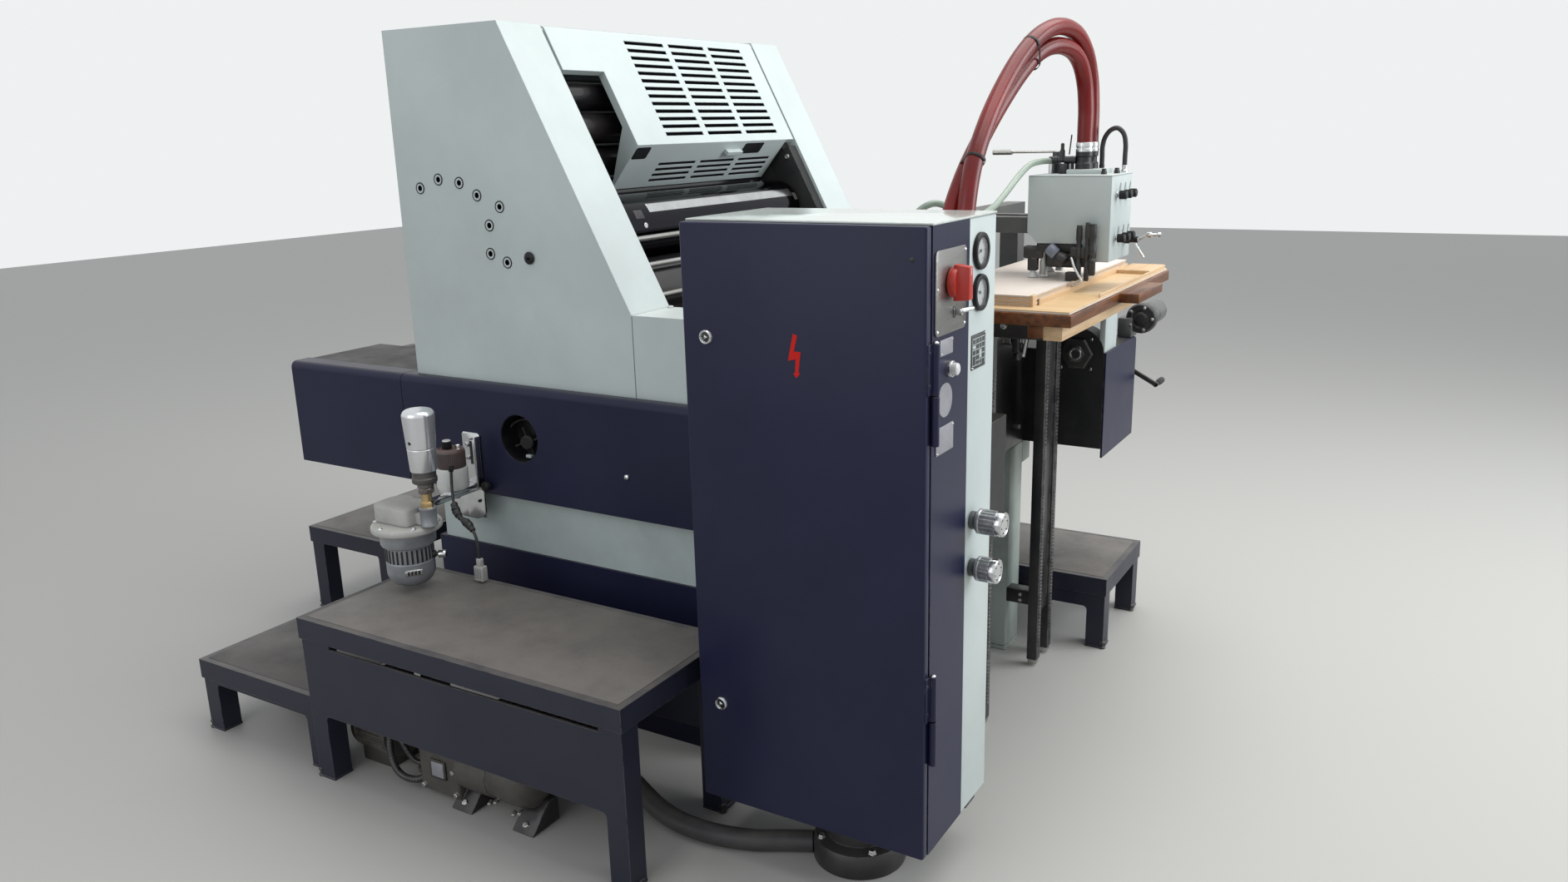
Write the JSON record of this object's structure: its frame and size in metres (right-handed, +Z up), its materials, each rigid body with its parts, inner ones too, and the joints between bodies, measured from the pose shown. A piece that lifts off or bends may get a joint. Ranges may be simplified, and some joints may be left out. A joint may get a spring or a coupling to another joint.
{
  "type": "single-colour sheet-fed offset printing press",
  "caption": "Small single-colour sheet-fed offset press with side covers, roller guard, feeder, pile board, control cabinet, suction hoses, powder sprayer and steps.",
  "frame": {"origin": "centre of the plinth's bottom across the press, on the floor", "axes": "+X along the press towards the feeder, -Y is the cabinet side, +Z up"},
  "size_m": [2.437, 1.921, 1.69],
  "materials": {
    "blue_paint": "satin dark-blue machine paint",
    "cast_dark": "oily painted castings",
    "pale_paint": "satin pale grey-green machine paint",
    "chrome": "polished cylinder surface",
    "rubber": "ink-black rubber",
    "bright_steel": "bright machined steel",
    "stainless": "brushed plate",
    "red_plastic": "switch handle",
    "white_plastic": "white plastic",
    "black_plastic": "black plastic",
    "cast_aluminium": "cast aluminium",
    "black_steel": "black steel",
    "hardwood": "oiled hardwood",
    "pale_wood": "bare pale wood and plywood",
    "step_top": "dark-blue frame with a worn top",
    "red_hose": "dark red suction hose",
    "green_hose": "pale green plastic hose"
  },
  "bodies": {
    "press": {"plinth": "blue_paint", "side_frame_near": "cast_dark", "side_frame_far": "cast_dark", "base_cover_near": "blue_paint", "base_cover_far": "blue_paint", "delivery_covers": "blue_paint", "delivery_table": "cast_dark", "lower_panels": "pale_paint", "upper_cover_near": "pale_paint", "upper_cover_far": "pale_paint", "extension_covers": "pale_paint", "top_cover": "pale_paint", "rear_cover": "pale_paint", "cross_rods": "bright_steel", "cabinet_shell": "blue_paint", "cabinet_rear": "pale_paint", "control_plates": "stainless", "gauges": "black_plastic", "cabinet_stand": "black_steel", "feed_board": "cast_dark", "feeder_frame": "black_steel", "guide_posts": "black_steel", "pile_board": "hardwood", "sheet_pile": "pale_wood", "head_support": "cast_dark", "feeder_head": "pale_paint", "suction_unit": "black_steel", "head_controls": "black_plastic", "hoist_gear": "cast_dark", "step_high": "step_top", "step_low": "step_top", "step_far": "step_top", "step_delivery": "step_top", "sprayer_bracket": "chrome", "powder_jar": "white_plastic", "powder_pump": "cast_aluminium", "air_pump": "cast_dark", "hose_sockets": "rubber", "suction_hose_1": "red_hose", "suction_hose_2": "red_hose", "air_hose": "green_hose", "head_hose": "rubber", "floor_hose": "rubber", "sprayer_lead": "rubber", "lead_plug": "white_plastic"},
    "front_guard": {"front_guard": "pale_paint"},
    "plate_cylinder": {"plate_cylinder": "chrome"},
    "blanket_cylinder": {"blanket_cylinder": "rubber"},
    "ink_roller_4": {"ink_roller_4": "rubber"},
    "ink_roller_3": {"ink_roller_3": "rubber"},
    "ink_roller_2": {"ink_roller_2": "rubber"},
    "ink_roller_1": {"ink_roller_1": "rubber"},
    "cabinet_door": {"cabinet_door": "blue_paint"},
    "main_switch": {"main_switch": "red_plastic"},
    "push_button": {"push_button": "white_plastic"},
    "regulator_upper": {"regulator_upper": "cast_aluminium"},
    "regulator_lower": {"regulator_lower": "cast_aluminium"},
    "crank_handle": {"crank_handle": "bright_steel"}
  },
  "joints": [
    {"name": "front_guard_hinge", "type": "hinge", "parent": "press", "child": "front_guard", "pos_m": [-0.03225, 0, 1.67651], "axis": [0, -1, 0], "range_deg": [0, 70]},
    {"name": "plate_cylinder_turn", "type": "hinge", "parent": "press", "child": "plate_cylinder", "pos_m": [0.075, 0, 1.205], "axis": [0, 1, 0], "continuous": true},
    {"name": "blanket_cylinder_turn", "type": "hinge", "parent": "press", "child": "blanket_cylinder", "pos_m": [0.15984, 0, 1.05194], "axis": [0, 1, 0], "continuous": true},
    {"name": "ink_roller_4_turn", "type": "hinge", "parent": "press", "child": "ink_roller_4", "pos_m": [-0.02012, 0, 1.29065], "axis": [0, 1, 0], "continuous": true},
    {"name": "ink_roller_3_turn", "type": "hinge", "parent": "press", "child": "ink_roller_3", "pos_m": [-0.02577, 0, 1.37145], "axis": [0, 1, 0], "continuous": true},
    {"name": "ink_roller_2_turn", "type": "hinge", "parent": "press", "child": "ink_roller_2", "pos_m": [-0.0131, 0, 1.45145], "axis": [0, 1, 0], "continuous": true},
    {"name": "ink_roller_1_turn", "type": "hinge", "parent": "press", "child": "ink_roller_1", "pos_m": [-0.03543, 0, 1.52932], "axis": [0, 1, 0], "continuous": true},
    {"name": "cabinet_door_hinge", "type": "hinge", "parent": "press", "child": "cabinet_door", "pos_m": [1.188, -0.9245, 0.0007], "axis": [0, 0, 1], "range_deg": [0, 110]},
    {"name": "main_switch_turn", "type": "hinge", "parent": "press", "child": "main_switch", "pos_m": [1.18, -0.85, 1.183], "axis": [-1, 0, 0], "range_deg": [0, 90]},
    {"name": "push_button_press", "type": "slide", "parent": "press", "child": "push_button", "axis": [-1, 0, 0], "range_m": [0, 0.005], "stiffness_N_per_m": 300},
    {"name": "regulator_upper_turn", "type": "hinge", "parent": "press", "child": "regulator_upper", "pos_m": [1.18, -0.737, 0.729], "axis": [1, 0, 0], "range_deg": [-135, 135]},
    {"name": "regulator_lower_turn", "type": "hinge", "parent": "press", "child": "regulator_lower", "pos_m": [1.18, -0.737, 0.636], "axis": [1, 0, 0], "range_deg": [-135, 135]},
    {"name": "crank_turn", "type": "hinge", "parent": "press", "child": "crank_handle", "pos_m": [1.09, 0.68, 0.745], "axis": [0, 1, 0], "continuous": true}
  ],
  "couplings": [
    {"joint": "blanket_cylinder_turn", "follows": "plate_cylinder_turn", "ratio": -1},
    {"joint": "ink_roller_4_turn", "follows": "plate_cylinder_turn", "ratio": -2.2368},
    {"joint": "ink_roller_3_turn", "follows": "plate_cylinder_turn", "ratio": 2.2368},
    {"joint": "ink_roller_2_turn", "follows": "plate_cylinder_turn", "ratio": -2.2368},
    {"joint": "ink_roller_1_turn", "follows": "plate_cylinder_turn", "ratio": 2.2368}
  ]
}
